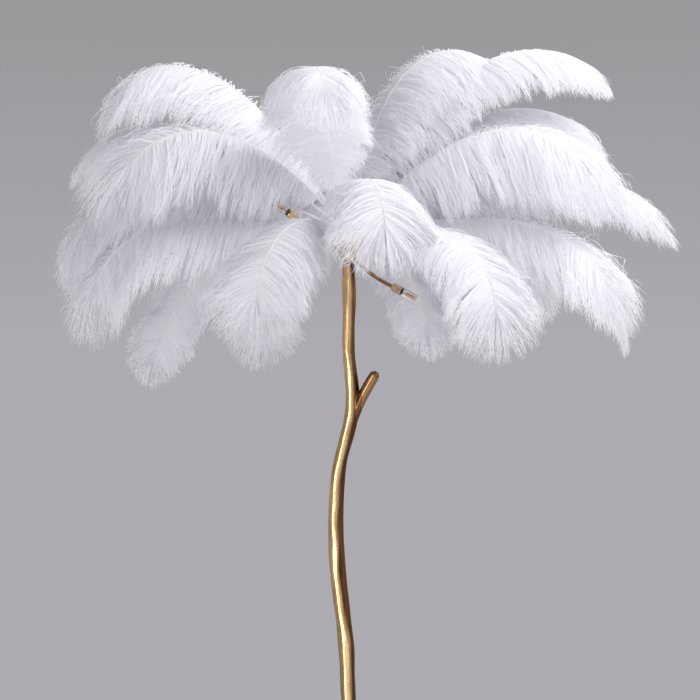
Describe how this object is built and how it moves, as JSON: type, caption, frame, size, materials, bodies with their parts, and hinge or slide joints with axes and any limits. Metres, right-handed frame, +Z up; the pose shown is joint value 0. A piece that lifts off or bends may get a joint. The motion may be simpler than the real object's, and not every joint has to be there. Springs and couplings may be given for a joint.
{
  "type": "ostrich feather floor lamp",
  "caption": "Floor lamp with a crown of white ostrich feathers and clear capsule lamps on a gilt branch-shaped stand.",
  "frame": {"origin": "middle of the base's underside, on the floor", "axes": "+Z up along the stand; +X to the viewer's right and -Y towards the viewer when the side shoot is on the right"},
  "size_m": [1.0293, 0.773, 1.6877],
  "materials": {
    "gilt_base": "gilt-lacquered casting, satin",
    "gilt_bark": "bark-grooved gilt, polished on the ridges, brown in the grooves",
    "polished_brass": "polished",
    "dark_brass": "darkened, satin",
    "clear_glass": "clear, polished",
    "black_rubber": "matt moulded rubber",
    "white_feather": "soft white barbs on an ivory shaft"
  },
  "bodies": {
    "root": {"base": "gilt_base", "cord_gland": "black_rubber", "branch": "gilt_bark", "collar": "dark_brass", "hub": "polished_brass", "lamp_arm_right": "polished_brass", "lamp_socket_right": "polished_brass", "lamp_bulb_right": "clear_glass", "lamp_arm_left": "polished_brass", "lamp_socket_left": "polished_brass", "lamp_bulb_left": "clear_glass", "feather_top_left": "white_feather", "feather_left_back": "white_feather", "feather_left_middle": "white_feather", "feather_left_outer": "white_feather", "feather_left_low": "white_feather", "feather_low_left_back": "white_feather", "feather_front_left": "white_feather", "feather_front_centre": "white_feather", "feather_front_right": "white_feather", "feather_low_right_back": "white_feather", "feather_right_low": "white_feather", "feather_right_low_back": "white_feather", "feather_right_middle": "white_feather", "feather_right_front": "white_feather", "feather_right_upper_back": "white_feather", "feather_top_right_outer": "white_feather", "feather_top_right": "white_feather", "feather_top_centre": "white_feather", "feather_back_top": "white_feather", "feather_back_right_high": "white_feather", "feather_back_left_high": "white_feather", "feather_back_right_mid": "white_feather", "feather_back_right_outer": "white_feather", "feather_back_left_outer": "white_feather", "feather_back_low": "white_feather", "feather_back_left_low": "white_feather"}
  },
  "joints": []
}
